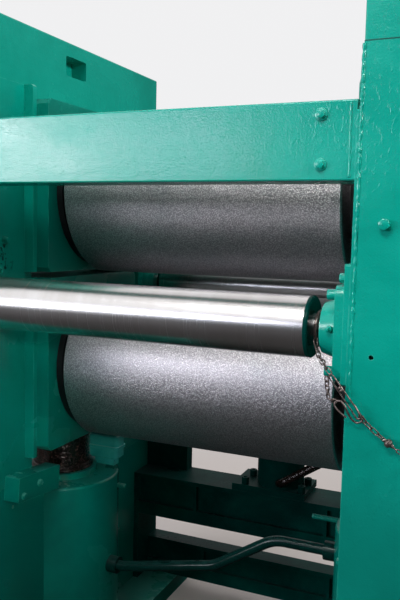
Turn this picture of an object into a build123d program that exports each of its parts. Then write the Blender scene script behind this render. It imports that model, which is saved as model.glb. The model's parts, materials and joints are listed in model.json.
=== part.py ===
from build123d import *
import os
from math import radians, tan

os.makedirs("parts", exist_ok=True)

# Embossing machine: two grained rolls between two stands, in millimetres.
# X runs along the rolls, Y from front to rear, Z up from the floor.
# The origin is on the floor under the middle of the stands.

# Rolls
roll_d = 500.0
roll_face = 845.0
roll_gap = 52.0
nip_height = 1334.0
roll_edge = 4.0
shoulder_d = 260.0
neck_d = 220.0
drive_collar_d = 150.0
drive_end_d = 140.0
drive_end_length = 48.0
keyway_width = 36.0
keyway_depth = 12.0
keyway_inset = 8.0

# Stands, with front and rear depths measured from the roll axis
stand_clear = 1071.0
stand_thickness = 200.0
stand_front = 650.0
stand_rear = 590.0
facing_thickness = 8.0
facing_above_post = 51.0
facing_corner = 182.0
window_width = 510.0
head_height = 234.0
stand_edge = 5.0
sight_slot_width = 120.0
sight_slot_height = 64.0
sight_slot_depth = 60.0
sight_slot_rise = 157.0
sight_slot_corner = 8.0
tapped_hole_d = 10.0
tapped_hole_depth = 30.0
tapped_hole_inset = 48.0
tapped_hole_drop = 77.0
base_plate_thickness = 60.0
base_plate_width = 440.0
base_plate_overhang = 30.0
anchor_hole_d = 30.0
anchor_hole_side_inset = 40.0
anchor_hole_end_inset = 60.0

# Chocks, the bearing blocks that slide in the stand windows
chock_face_gap = 38.0
chock_flange_width = 545.0
upper_chock_over_nip = 30.0
lower_chock_over_nip = 12.0
upper_chock_rise = 275.0
upper_chock_body_rise = 263.0
lower_chock_drop = 256.0
chock_corner = 15.0
guide_strip_thickness = 18.0
guide_strip_proud = 33.0
guide_strip_corner = 6.0
guide_strip_short = 22.0
cover_d = 340.0
cover_thickness = 25.0
cover_edge = 4.0
seal_ring_d = 458.0
seal_ring_inner_d = 270.0
seal_ring_thickness = 20.0

# Hydraulic cylinders under the lower chocks
ram_showing = 159.0
cylinder_d = 400.0
cylinder_rim = 8.0
cylinder_axis_x = 594.0
gland_d = 240.0
gland_height = 20.0
ram_d = 190.0
ram_head_d = 206.0
ram_head_height = 20.0
ram_engaged = 250.0
ram_drop = 60.0
ram_floor_gap = 15.0
hold_down_width = 53.0
hold_down_height = 77.0
hold_down_length = 208.0
hold_down_from_axis = 285.0
hold_down_rise = 58.0
hold_down_tilt = 5.0
hold_down_edge = 3.0

# Valve blocks on the cylinders, behind the rams
valve_width = 118.0
valve_depth = 60.0
valve_x = 490.0
valve_behind_axis = 130.0
valve_foot_width = 80.0
valve_foot_depth = 34.0
valve_foot_height = 24.0
valve_flange_lip = 4.0
valve_flange_height = 10.0
valve_flange_rise = 62.0
valve_height = 116.0
valve_corner = 12.0
valve_edge = 8.0

# Polished guide rolls and their flange bearings
guide_roll_d = 138.0
guide_roll_face = 879.0
guide_roll_edge = 3.0
guide_roll_end_thickness = 10.0
guide_shaft_d = 60.0
guide_shaft_inset = 3.0
guide_roll_drop = 38.0
guide_roll_inset = 110.0
bearing_flange = 200.0
bearing_flange_thickness = 20.0
bearing_corner = 22.0
bearing_boss_d = 140.0
bearing_boss_face_d = 112.0
bearing_boss_length = 41.0
bearing_pad_width = 248.0
bearing_pad_height = 248.0
bearing_pad_thickness = 12.0
bearing_pad_rise = 145.0
bearing_pad_corner = 4.0

# Tie beams beside the upper roll, front and rear
tie_beam_height = 158.0
tie_beam_depth = 100.0
tie_beam_drop = 4.0
tie_beam_edge = 4.0

# Cross beams low at the rear, made as channels between end plates
cross_beam_recess = 20.0
cross_beam_top_flange = 16.0
cross_beam_foot_flange = 50.0
cross_beam_rib = 12.0
cross_beam_rib_x = 262.0
cross_beam_plate = 20.0
upper_cross_beam_top = 508.0
upper_cross_beam_height = 168.0
upper_cross_beam_depth = 165.0
lower_cross_beam_top = 206.0
lower_cross_beam_height = 146.0
lower_cross_beam_depth = 75.0
bracket_width = 185.0
bracket_depth = 50.0
bracket_height = 272.0

# Cylinder on the upper cross beam
rear_cylinder_d = 180.0
rear_cylinder_x = 60.0
rear_cylinder_inset = 70.0
rear_cylinder_height = 246.0
rear_cylinder_edge = 5.0
rear_base_length = 287.0
rear_base_width = 184.0
rear_base_thickness = 25.0
rear_base_x = 36.0

# Return pipe from the front of that cylinder to the right rear post
return_pipe_d = 30.0
return_pipe_radii = [30.0, 60.0, 60.0]
return_pipe_route = [(80.0, 480.0, 562.0), (80.0, 436.0, 562.0), (300.0, 450.0, 706.0), (470.0, 500.0, 720.0)]

# Oil pipe between the two hydraulic cylinders, with its turns as X and Z in the plane of the roll axes
pipe_d = 34.0
pipe_bend = 120.0
pipe_union_d = 58.0
pipe_union_length = 34.0
pipe_turns = [(-345.0, 334.0), (0.0, 412.0), (199.0, 540.0)]

# Safety chain, hooked round the front guide roll's shaft and to an eye on the right stand
chain_d = 12.0
chain_ring_inner_d = 66.0
chain_ring_wire = 8.0
chain_eye_x = 680.0
chain_eye_z = 1056.0
chain_eye_d = 22.0
chain_eye_wire = 6.0
chain_eye_stem = 5.0
chain_eye_stem_d = 9.0
chain_route = [
    (452.6, -551.2, 1273.8),
    (459.0, -562.0, 1250.0),
    (480.0, -598.0, 1236.0),
    (505.0, -632.0, 1221.0),
    (537.0, -634.0, 1176.0),
    (575.0, -633.0, 1132.0),
    (610.0, -632.0, 1103.0),
    (648.0, -633.0, 1078.0),
    (673.0, -634.2, 1060.8),
]

# Clearances
slide_gap = 0.5
running_gap = 0.05
bore_gap = 0.3
end_gap = 5.0
drive_gap = 1.0

# Places worked out from the sizes
roll_y = (stand_front - stand_rear) / 2
front_y = roll_y - stand_front
rear_y = roll_y + stand_rear
stand_depth = stand_front + stand_rear
inner_x = stand_clear / 2
outer_x = inner_x + stand_thickness
upper_axis_z = nip_height + (roll_gap + roll_d) / 2
lower_axis_z = nip_height - (roll_gap + roll_d) / 2
chock_inner_x = roll_face / 2 + chock_face_gap
chock_body_width = window_width - 2 * slide_gap
strip_inner = chock_flange_width / 2 + slide_gap
lower_chock_bottom = lower_axis_z - lower_chock_drop
lower_chock_top = nip_height + lower_chock_over_nip
upper_chock_bottom = nip_height + upper_chock_over_nip
foot_height = lower_chock_bottom - ram_showing
post_top = upper_axis_z + upper_chock_body_rise
facing_top = post_top + facing_above_post
guide_strip_foot = lower_chock_bottom - guide_strip_short
guide_roll_z = nip_height - guide_roll_drop
bearing_face_x = inner_x - bearing_pad_thickness

SIDES = (("left", -1), ("right", 1))
ENDS = (("front", -1, front_y, roll_y - window_width / 2), ("rear", 1, rear_y, roll_y + window_width / 2))


def box_between(low, high):
    """Adds a box given by two corners to the part being built."""
    size = [abs(b - a) for a, b in zip(low, high)]
    middle = [(a + b) / 2 for a, b in zip(low, high)]
    with Locations(tuple(middle)):
        Box(*size)


# Base plates with anchor holes at the corners
for side_name, side in SIDES:
    with BuildPart() as base_plate:
        plate_length = stand_depth + 2 * base_plate_overhang
        with BuildSketch(Plane.XY):
            with Locations((side * cylinder_axis_x, 0)):
                Rectangle(base_plate_width, plate_length)
                hole_step_x = base_plate_width - 2 * anchor_hole_side_inset
                hole_step_y = plate_length - 2 * anchor_hole_end_inset
                with GridLocations(hole_step_x, hole_step_y, 2, 2):
                    Circle(anchor_hole_d / 2, mode=Mode.SUBTRACT)
        extrude(amount=base_plate_thickness)
    base_plate.part.label = side_name + "_base_plate"
    export_step(base_plate.part, "parts/" + side_name + "_base_plate.step")


# Posts, each with a foot that wraps the hydraulic cylinder and a raised facing inside
for side_name, side in SIDES:
    for end_name, end, face_y, window_y in ENDS:
        foot_points = [
            (window_y, foot_height),
            (roll_y, foot_height),
            (roll_y, base_plate_thickness),
            (face_y, base_plate_thickness),
        ]
        body_points = foot_points + [(face_y, post_top), (window_y, post_top)]
        facing_points = foot_points + [
            (face_y, facing_top - facing_corner),
            (face_y - end * facing_corner, facing_top),
            (window_y, facing_top),
        ]
        with BuildPart() as post:
            with BuildSketch(Plane.YZ.offset(side * (inner_x + facing_thickness))):
                with BuildLine():
                    Polyline(*body_points, close=True)
                make_face()
            extrude(amount=side * (stand_thickness - facing_thickness))
            face_edges = post.edges().filter_by(Axis.Z).group_by(Axis.Y)[min(0, -end)]
            fillet(face_edges.sort_by(Axis.X)[min(0, -side)], stand_edge)
            with BuildSketch(Plane.YZ.offset(side * inner_x)):
                with BuildLine():
                    Polyline(*facing_points, close=True)
                make_face()
            extrude(amount=side * facing_thickness)
            with BuildSketch(Plane.XY.offset(base_plate_thickness)):
                with Locations((side * cylinder_axis_x, roll_y)):
                    Circle(cylinder_d / 2 + bore_gap)
            extrude(amount=foot_height, mode=Mode.SUBTRACT)
            if end_name == "front":
                with BuildSketch(Plane.XZ.offset(-front_y)):
                    with Locations((side * (inner_x + tapped_hole_inset), nip_height - tapped_hole_drop)):
                        Circle(tapped_hole_d / 2)
                extrude(amount=-tapped_hole_depth, mode=Mode.SUBTRACT)
        post.part.label = side_name + "_" + end_name + "_post"
        export_step(post.part, "parts/" + side_name + "_" + end_name + "_post.step")


# Heads across the tops of the posts, with a sight slot on the inner face
for side_name, side in SIDES:
    with BuildPart() as head:
        with BuildSketch(Plane.YZ.offset(side * (inner_x + facing_thickness))):
            with Locations((0, post_top + head_height / 2)):
                Rectangle(stand_depth, head_height)
        extrude(amount=side * (stand_thickness - facing_thickness))
        fillet(head.edges().filter_by(Axis.Z) + head.edges().group_by(Axis.Z)[-1], stand_edge)
        with BuildSketch(Plane.YZ.offset(side * (inner_x + facing_thickness))):
            with Locations((roll_y, post_top + sight_slot_rise)):
                RectangleRounded(sight_slot_width, sight_slot_height, sight_slot_corner)
        extrude(amount=side * sight_slot_depth, mode=Mode.SUBTRACT)
    head.part.label = side_name + "_head"
    export_step(head.part, "parts/" + side_name + "_head.step")


# Guide strips beside the windows, front and rear on each stand, parted at the gap between the chocks
strip_levels = ((guide_strip_foot, lower_chock_top), (upper_chock_bottom, facing_top))
with BuildPart() as guide_strips:
    for side_name, side in SIDES:
        with BuildSketch(Plane.YZ.offset(side * inner_x)):
            for foot, top in strip_levels:
                with Locations((roll_y, (foot + top) / 2)):
                    with GridLocations(2 * strip_inner + guide_strip_thickness, 0, 2, 1):
                        Rectangle(guide_strip_thickness, top - foot)
        extrude(amount=-side * guide_strip_proud)
    top_edges = guide_strips.edges().filter_by(Axis.Y).group_by(Axis.Z)[-1].group_by(Axis.X)
    chamfer(top_edges[1] + top_edges[2], guide_strip_corner)
guide_strips.part.label = "guide_strips"
export_step(guide_strips.part, "parts/guide_strips.step")


# Chocks
def make_chock(side, axis_z, bottom, flange_top, body_top, back_gap):
    """Builds one bearing block: a flange over the stand's inner face and a body in its window."""
    with BuildPart() as chock:
        with BuildSketch(Plane.YZ.offset(side * chock_inner_x)):
            with Locations((roll_y, (bottom + flange_top) / 2)):
                Rectangle(chock_flange_width, flange_top - bottom)
        extrude(amount=side * (inner_x - back_gap - chock_inner_x))
        chamfer(chock.edges().filter_by(Axis.X), chock_corner)
        with BuildSketch(Plane.YZ.offset(side * (inner_x - back_gap))):
            with Locations((roll_y, (bottom + body_top) / 2)):
                Rectangle(chock_body_width, body_top - bottom)
        extrude(amount=side * (stand_thickness + back_gap))
        with BuildSketch(Plane.YZ.offset(side * chock_inner_x)):
            with Locations((roll_y, axis_z)):
                Circle(neck_d / 2 + running_gap)
        extrude(amount=side * (outer_x - chock_inner_x), mode=Mode.SUBTRACT)
    return chock.part


for side_name, side in SIDES:
    upper_chock = make_chock(
        side, upper_axis_z, upper_chock_bottom, upper_axis_z + upper_chock_rise, post_top, 0
    )
    upper_chock.label = side_name + "_upper_chock"
    export_step(upper_chock, "parts/" + side_name + "_upper_chock.step")
    lower_chock = make_chock(
        side, lower_axis_z, lower_chock_bottom, lower_chock_top, lower_chock_top, slide_gap
    )
    lower_chock.label = side_name + "_lower_chock"
    export_step(lower_chock, "parts/" + side_name + "_lower_chock.step")


# Seal rings on the chocks' inner faces and covers on their outer faces
for level_name, axis_z in (("upper", upper_axis_z), ("lower", lower_axis_z)):
    with BuildPart() as seal_rings:
        for side in (-1, 1):
            with BuildSketch(Plane.YZ.offset(side * (chock_inner_x - seal_ring_thickness))):
                with Locations((roll_y, axis_z)):
                    Circle(seal_ring_d / 2)
                    Circle(seal_ring_inner_d / 2, mode=Mode.SUBTRACT)
            extrude(amount=side * seal_ring_thickness)
    seal_rings.part.label = level_name + "_seal_rings"
    export_step(seal_rings.part, "parts/" + level_name + "_seal_rings.step")

    with BuildPart() as covers:
        for side in (-1, 1):
            with BuildSketch(Plane.YZ.offset(side * outer_x)):
                with Locations((roll_y, axis_z)):
                    Circle(cover_d / 2)
            extrude(amount=side * cover_thickness)
        cover_rims = covers.edges().filter_by(GeomType.CIRCLE).group_by(Axis.X)
        chamfer(cover_rims[0] + cover_rims[-1], cover_edge)
        with BuildSketch(Plane.YZ.offset(-outer_x)):
            with Locations((roll_y, axis_z)):
                Circle(drive_collar_d / 2 + drive_gap)
        extrude(amount=-cover_thickness, mode=Mode.SUBTRACT)
    covers.part.label = level_name + "_chock_covers"
    export_step(covers.part, "parts/" + level_name + "_chock_covers.step")


# Grained rolls, with a keyed drive end on the left
def make_roll(axis_z):
    """Turns one roll: grained face, shoulders, bearing necks, collar and drive end with its keyway."""
    half = roll_face / 2
    shoulder_end = chock_inner_x - end_gap
    neck_end = outer_x - end_gap
    collar_end = outer_x + cover_thickness + end_gap
    drive_end = collar_end + drive_end_length
    with BuildPart() as roll:
        with BuildSketch(Plane.XZ.offset(-roll_y)):
            with BuildLine():
                Polyline(
                    (-drive_end, axis_z),
                    (-drive_end, axis_z + drive_end_d / 2),
                    (-collar_end, axis_z + drive_end_d / 2),
                    (-collar_end, axis_z + drive_collar_d / 2),
                    (-neck_end, axis_z + drive_collar_d / 2),
                    (-neck_end, axis_z + neck_d / 2),
                    (-shoulder_end, axis_z + neck_d / 2),
                    (-shoulder_end, axis_z + shoulder_d / 2),
                    (-half, axis_z + shoulder_d / 2),
                    (-half, axis_z + roll_d / 2 - roll_edge),
                    (roll_edge - half, axis_z + roll_d / 2),
                    (half - roll_edge, axis_z + roll_d / 2),
                    (half, axis_z + roll_d / 2 - roll_edge),
                    (half, axis_z + shoulder_d / 2),
                    (shoulder_end, axis_z + shoulder_d / 2),
                    (shoulder_end, axis_z + neck_d / 2),
                    (neck_end, axis_z + neck_d / 2),
                    (neck_end, axis_z),
                    close=True,
                )
            make_face()
        revolve(axis=Axis((0, roll_y, axis_z), (1, 0, 0)))
        with BuildSketch(Plane.XY.offset(axis_z + drive_end_d / 2 - keyway_depth)):
            with Locations((-drive_end + (drive_end_length - keyway_inset) / 2, roll_y)):
                Rectangle(drive_end_length - keyway_inset, keyway_width)
        extrude(amount=keyway_depth, mode=Mode.SUBTRACT)
    return roll.part


upper_roll = make_roll(upper_axis_z)
upper_roll.label = "upper_roll"
export_step(upper_roll, "parts/upper_roll.step")
lower_roll = make_roll(lower_axis_z)
lower_roll.label = "lower_roll"
export_step(lower_roll, "parts/lower_roll.step")


# Hydraulic cylinders with their glands, and rams up to the lower chocks
ram_bottom = foot_height - ram_engaged
for side_name, side in SIDES:
    axis_x = side * cylinder_axis_x
    with BuildPart() as cylinder:
        with BuildSketch(Plane.XY.offset(base_plate_thickness)):
            with Locations((axis_x, roll_y)):
                Circle(cylinder_d / 2)
        extrude(amount=foot_height - base_plate_thickness)
        fillet(cylinder.edges().group_by(Axis.Z)[-1], cylinder_rim)
        with BuildSketch(Plane.XY.offset(foot_height)):
            with Locations((axis_x, roll_y)):
                Circle(gland_d / 2)
        extrude(amount=gland_height)
        with BuildSketch(Plane.XY.offset(ram_bottom - ram_drop - ram_floor_gap)):
            with Locations((axis_x, roll_y)):
                Circle(ram_d / 2 + bore_gap)
        extrude(amount=ram_engaged + ram_drop + ram_floor_gap + gland_height, mode=Mode.SUBTRACT)
    cylinder.part.label = side_name + "_cylinder"
    export_step(cylinder.part, "parts/" + side_name + "_cylinder.step")

    with BuildPart() as ram:
        with BuildSketch(Plane.XY.offset(ram_bottom)):
            with Locations((axis_x, roll_y)):
                Circle(ram_d / 2)
        extrude(amount=lower_chock_bottom - ram_head_height - ram_bottom)
        with BuildSketch(Plane.XY.offset(lower_chock_bottom - ram_head_height)):
            with Locations((axis_x, roll_y)):
                Circle(ram_head_d / 2)
        extrude(amount=ram_head_height)
    ram.part.label = side_name + "_ram"
    export_step(ram.part, "parts/" + side_name + "_ram.step")


# Hold-down bars on the posts, over the cylinders' front and rear rims, sloping down to the middle
with BuildPart() as hold_down_bars:
    for side_name, side in SIDES:
        with BuildSketch(Plane.YZ.offset(side * inner_x)):
            for end in (-1, 1):
                with Locations((roll_y + end * hold_down_from_axis, foot_height + hold_down_rise)):
                    Rectangle(hold_down_length, hold_down_height, rotation=end * hold_down_tilt)
        extrude(amount=-side * hold_down_width)
    chamfer(hold_down_bars.edges().filter_by(Axis.X), hold_down_edge)
hold_down_bars.part.label = "hold_down_bars"
export_step(hold_down_bars.part, "parts/hold_down_bars.step")


# Valve blocks: a narrow foot on the cylinder, a body with rounded edges and a flange joint round it
valve_body_foot = foot_height + valve_foot_height
with BuildPart() as valve_blocks:
    for side_name, side in SIDES:
        valve_place = (side * valve_x, roll_y + valve_behind_axis)
        with BuildSketch(Plane.XY.offset(valve_body_foot)):
            with Locations(valve_place):
                RectangleRounded(valve_width, valve_depth, valve_corner)
        extrude(amount=valve_height - valve_foot_height)
    body_edges = valve_blocks.edges().group_by(Axis.Z)
    chamfer(body_edges[0] + body_edges[-1], valve_edge)
    for side_name, side in SIDES:
        valve_place = (side * valve_x, roll_y + valve_behind_axis)
        with BuildSketch(Plane.XY.offset(foot_height)):
            with Locations(valve_place):
                Rectangle(valve_foot_width, valve_foot_depth)
        extrude(amount=valve_foot_height)
        with BuildSketch(Plane.XY.offset(foot_height + valve_flange_rise)):
            with Locations(valve_place):
                RectangleRounded(
                    valve_width + 2 * valve_flange_lip, valve_depth + 2 * valve_flange_lip, valve_corner
                )
        extrude(amount=valve_flange_height)
valve_blocks.part.label = "valve_blocks"
export_step(valve_blocks.part, "parts/valve_blocks.step")


# Polished guide rolls, front and rear, with painted discs on their ends
guide_axes = {"front": front_y + guide_roll_inset, "rear": rear_y - guide_roll_inset}
barrel_half = guide_roll_face / 2 - guide_roll_end_thickness
for end_name, axis_y in guide_axes.items():
    shaft_end = bearing_face_x - guide_shaft_inset
    with BuildPart() as guide_roll:
        with BuildSketch(Plane.YZ.offset(-barrel_half)):
            with Locations((axis_y, guide_roll_z)):
                Circle(guide_roll_d / 2)
        extrude(amount=2 * barrel_half)
        with BuildSketch(Plane.YZ.offset(-shaft_end)):
            with Locations((axis_y, guide_roll_z)):
                Circle(guide_shaft_d / 2)
        extrude(amount=2 * shaft_end)
    guide_roll.part.label = end_name + "_guide_roll"
    export_step(guide_roll.part, "parts/" + end_name + "_guide_roll.step")

    with BuildPart() as roll_ends:
        for side in (-1, 1):
            with BuildSketch(Plane.YZ.offset(side * barrel_half)):
                with Locations((axis_y, guide_roll_z)):
                    Circle(guide_roll_d / 2)
            extrude(amount=side * guide_roll_end_thickness)
        end_rims = roll_ends.edges().filter_by(GeomType.CIRCLE).group_by(Axis.X)
        chamfer(end_rims[0] + end_rims[-1], guide_roll_edge)
        with BuildSketch(Plane.YZ.offset(-guide_roll_face / 2)):
            with Locations((axis_y, guide_roll_z)):
                Circle(guide_shaft_d / 2 + bore_gap)
        extrude(amount=guide_roll_face, mode=Mode.SUBTRACT)
    roll_ends.part.label = end_name + "_guide_roll_ends"
    export_step(roll_ends.part, "parts/" + end_name + "_guide_roll_ends.step")


# Flange bearings on pads on the facings
for side_name, side in SIDES:
    with BuildPart() as bearings:
        for axis_y in guide_axes.values():
            with BuildSketch(Plane.YZ.offset(side * bearing_face_x)):
                with Locations((axis_y, guide_roll_z)):
                    RectangleRounded(bearing_flange, bearing_flange, bearing_corner)
            extrude(amount=-side * bearing_flange_thickness)
            boss_foot_x = side * (bearing_face_x - bearing_flange_thickness)
            with BuildSketch(Plane.YZ.offset(boss_foot_x)):
                with Locations((axis_y, guide_roll_z)):
                    Circle(bearing_boss_d / 2)
            with BuildSketch(Plane.YZ.offset(boss_foot_x - side * bearing_boss_length)):
                with Locations((axis_y, guide_roll_z)):
                    Circle(bearing_boss_face_d / 2)
            loft()
            with BuildSketch(Plane.YZ.offset(side * bearing_face_x)):
                with Locations((axis_y, guide_roll_z)):
                    Circle(guide_shaft_d / 2 + running_gap)
            extrude(amount=-side * (bearing_flange_thickness + bearing_boss_length), mode=Mode.SUBTRACT)
    bearings.part.label = side_name + "_guide_bearings"
    export_step(bearings.part, "parts/" + side_name + "_guide_bearings.step")

bearing_pad_top = guide_roll_z + bearing_pad_rise
with BuildPart() as bearing_pads:
    for side_name, side in SIDES:
        for end in (-1, 1):
            box_between(
                (side * bearing_face_x, end * stand_depth / 2, bearing_pad_top - bearing_pad_height),
                (side * inner_x, end * (stand_depth / 2 - bearing_pad_width), bearing_pad_top),
            )
    chamfer(bearing_pads.edges().filter_by(Axis.X), bearing_pad_corner)
bearing_pads.part.label = "bearing_pads"
export_step(bearing_pads.part, "parts/bearing_pads.step")


# Tie beams from stand to stand
tie_beam_top = upper_axis_z - tie_beam_drop + tie_beam_height
for end_name, end, face_y, window_y in ENDS:
    with BuildPart() as tie_beam:
        with BuildSketch(Plane.YZ.offset(-inner_x)):
            with Locations((face_y - end * tie_beam_depth / 2, tie_beam_top - tie_beam_height / 2)):
                RectangleRounded(tie_beam_depth, tie_beam_height, tie_beam_edge)
        extrude(amount=2 * inner_x)
    tie_beam.part.label = end_name + "_tie_beam"
    export_step(tie_beam.part, "parts/" + end_name + "_tie_beam.step")


# Cross beams: channels open to the front, with ribs
def make_channel(top, height, depth):
    """Builds one channel beam between the end plates, its web set back behind two flanges."""
    half = inner_x - cross_beam_plate
    web_low = top - height + cross_beam_foot_flange
    web_high = top - cross_beam_top_flange
    with BuildPart() as channel:
        box_between((-half, rear_y - depth, top - height), (half, rear_y, top))
        with BuildSketch(Plane.XZ.offset(depth - rear_y)):
            with Locations((0, (web_low + web_high) / 2)):
                Rectangle(2 * half, web_high - web_low)
                with GridLocations(2 * cross_beam_rib_x, 0, 2, 1):
                    Rectangle(cross_beam_rib, web_high - web_low, mode=Mode.SUBTRACT)
        extrude(amount=-cross_beam_recess, mode=Mode.SUBTRACT)
    return channel.part


upper_cross_beam = make_channel(upper_cross_beam_top, upper_cross_beam_height, upper_cross_beam_depth)
upper_cross_beam.label = "upper_cross_beam"
export_step(upper_cross_beam, "parts/upper_cross_beam.step")
lower_cross_beam = make_channel(lower_cross_beam_top, lower_cross_beam_height, lower_cross_beam_depth)
lower_cross_beam.label = "lower_cross_beam"
export_step(lower_cross_beam, "parts/lower_cross_beam.step")

with BuildPart() as cross_beam_plates:
    for side_name, side in SIDES:
        box_between(
            (side * (inner_x - cross_beam_plate), rear_y - upper_cross_beam_depth, base_plate_thickness),
            (side * inner_x, rear_y, upper_cross_beam_top),
        )
cross_beam_plates.part.label = "cross_beam_plates"
export_step(cross_beam_plates.part, "parts/cross_beam_plates.step")

with BuildPart() as rear_bracket:
    box_between(
        (-inner_x, rear_y - bracket_depth, upper_cross_beam_top),
        (bracket_width - inner_x, rear_y, upper_cross_beam_top + bracket_height),
    )
rear_bracket.part.label = "rear_bracket"
export_step(rear_bracket.part, "parts/rear_bracket.step")


# Cylinder standing on the upper cross beam, with its base under it
rear_base_top = upper_cross_beam_top + rear_base_thickness
rear_cylinder_y = rear_y - rear_cylinder_inset
with BuildPart() as rear_base:
    with BuildSketch(Plane.XY.offset(upper_cross_beam_top)):
        with Locations((rear_base_x, rear_cylinder_y)):
            Rectangle(rear_base_length, rear_base_width)
    extrude(amount=rear_base_thickness)
rear_base.part.label = "rear_cylinder_base"
export_step(rear_base.part, "parts/rear_cylinder_base.step")

with BuildPart() as rear_cylinder:
    with BuildSketch(Plane.XY.offset(rear_base_top)):
        with Locations((rear_cylinder_x, rear_cylinder_y)):
            Circle(rear_cylinder_d / 2)
    extrude(amount=rear_cylinder_height)
    fillet(rear_cylinder.edges().group_by(Axis.Z)[-1], rear_cylinder_edge)
rear_cylinder.part.label = "rear_cylinder"
export_step(rear_cylinder.part, "parts/rear_cylinder.step")

with BuildPart() as return_pipe:
    pipe_turn_y, pipe_turn_z = return_pipe_route[-1][1:]
    with BuildLine() as return_route:
        FilletPolyline(*return_pipe_route, (inner_x, pipe_turn_y, pipe_turn_z), radius=return_pipe_radii)
    with BuildSketch(Plane(origin=return_route.line @ 0, z_dir=return_route.line % 0)):
        Circle(return_pipe_d / 2)
    sweep()
    with BuildSketch(Plane.XY.offset(rear_base_top)):
        with Locations((rear_cylinder_x, rear_cylinder_y)):
            Circle(rear_cylinder_d / 2)
    extrude(amount=rear_cylinder_height, mode=Mode.SUBTRACT)
return_pipe.part.label = "return_pipe"
export_step(return_pipe.part, "parts/return_pipe.step")


# Oil pipe between the hydraulic cylinders, low on the left one and high on the right one
pipe_port = cylinder_axis_x - cylinder_d / 2
pipe_route = [(x, roll_y, z) for x, z in pipe_turns]
with BuildPart() as oil_pipe:
    with BuildLine() as route:
        left_port = (-pipe_port, roll_y, pipe_turns[0][1])
        right_port = (pipe_port, roll_y, pipe_turns[-1][1])
        FilletPolyline(left_port, *pipe_route, right_port, radius=pipe_bend)
    with BuildSketch(Plane(origin=route.line @ 0, z_dir=route.line % 0)):
        Circle(pipe_d / 2)
    sweep()
    for side, port_z in ((-1, pipe_turns[0][1]), (1, pipe_turns[-1][1])):
        with BuildSketch(Plane.YZ.offset(side * cylinder_axis_x)):
            with Locations((roll_y, port_z)):
                Circle(pipe_union_d / 2)
        extrude(amount=-side * (cylinder_d / 2 + pipe_union_length))
    with BuildSketch(Plane.XY.offset(base_plate_thickness)):
        with Locations((-cylinder_axis_x, roll_y), (cylinder_axis_x, roll_y)):
            Circle(cylinder_d / 2)
    extrude(amount=foot_height, mode=Mode.SUBTRACT)
oil_pipe.part.label = "oil_pipe"
export_step(oil_pipe.part, "parts/oil_pipe.step")


# Safety chain as one plain tube, with the ring on the shaft and the eye on the stand
def turn_between(start, corner, end):
    """Gives the turn of a route at one point, in degrees."""
    return (Vector(*corner) - Vector(*start)).get_angle(Vector(*end) - Vector(*corner))


chain_radii = []
for start, corner, end in zip(chain_route, chain_route[1:], chain_route[2:]):
    shorter_run = min((Vector(*corner) - Vector(*start)).length, (Vector(*end) - Vector(*corner)).length)
    chain_radii.append(0.45 * shorter_run / tan(radians(turn_between(start, corner, end)) / 2))
print("chain bend radii", [round(radius) for radius in chain_radii])

with BuildPart() as safety_chain:
    with BuildLine() as chain_line:
        FilletPolyline(*chain_route, radius=chain_radii)
    with BuildSketch(Plane(origin=chain_line.line @ 0, z_dir=chain_line.line % 0)):
        Circle(chain_d / 2)
    sweep()
print("chain length", round(sum(edge.length for edge in chain_line.edges()), 1))
safety_chain.part.label = "safety_chain"
export_step(safety_chain.part, "parts/safety_chain.step")

ring_x = (guide_roll_face / 2 + bearing_face_x - bearing_flange_thickness - bearing_boss_length) / 2
ring_z = guide_roll_z + guide_shaft_d / 2 + bore_gap - chain_ring_inner_d / 2
with BuildPart() as chain_ring:
    with BuildSketch(Plane.XY.offset(ring_z)):
        with Locations((ring_x, guide_axes["front"] - chain_ring_inner_d / 2 - chain_ring_wire / 2)):
            Circle(chain_ring_wire / 2)
    revolve(axis=Axis((ring_x, guide_axes["front"], ring_z), (1, 0, 0)))
chain_ring.part.label = "chain_ring"
export_step(chain_ring.part, "parts/chain_ring.step")

eye_y = front_y - chain_eye_stem - chain_eye_d / 2
with BuildPart() as chain_eye:
    with BuildSketch(Plane.XY.offset(chain_eye_z)):
        with Locations((chain_eye_x, eye_y + (chain_eye_d - chain_eye_wire) / 2)):
            Circle(chain_eye_wire / 2)
    revolve(axis=Axis((chain_eye_x, eye_y, chain_eye_z), (1, 0, 0)))
    with BuildSketch(Plane.XZ.offset(-front_y)):
        with Locations((chain_eye_x, chain_eye_z)):
            Circle(chain_eye_stem_d / 2)
    extrude(amount=chain_eye_stem + chain_eye_wire / 2)
chain_eye.part.label = "chain_eye"
export_step(chain_eye.part, "parts/chain_eye.step")
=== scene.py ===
import json
import math
import bpy
from mathutils import Matrix, Vector


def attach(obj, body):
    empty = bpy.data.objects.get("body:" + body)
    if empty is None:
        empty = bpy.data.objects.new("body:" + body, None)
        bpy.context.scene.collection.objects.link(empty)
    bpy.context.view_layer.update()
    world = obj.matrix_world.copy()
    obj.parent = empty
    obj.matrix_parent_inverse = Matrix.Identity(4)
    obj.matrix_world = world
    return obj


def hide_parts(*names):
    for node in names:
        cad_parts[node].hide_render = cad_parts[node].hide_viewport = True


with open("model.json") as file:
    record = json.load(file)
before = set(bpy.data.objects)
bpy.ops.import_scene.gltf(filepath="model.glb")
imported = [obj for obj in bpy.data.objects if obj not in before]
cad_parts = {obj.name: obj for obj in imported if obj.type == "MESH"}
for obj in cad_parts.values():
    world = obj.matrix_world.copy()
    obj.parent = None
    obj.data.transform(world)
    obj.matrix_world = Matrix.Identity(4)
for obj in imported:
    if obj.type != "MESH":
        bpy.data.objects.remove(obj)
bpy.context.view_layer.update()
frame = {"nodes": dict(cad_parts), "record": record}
cadNodes = frame["nodes"]
scene = bpy.context.scene
scene.view_settings.view_transform = "Standard"
print("frame loaded,", len(cadNodes), "nodes")


# the photograph's viewpoint

viewpoint = {"place": (0.8242, -2.03075, 1.5023), "turn": 23.53, "tip": -5.64, "roll": 1.26, "lens": 42.44}

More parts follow.
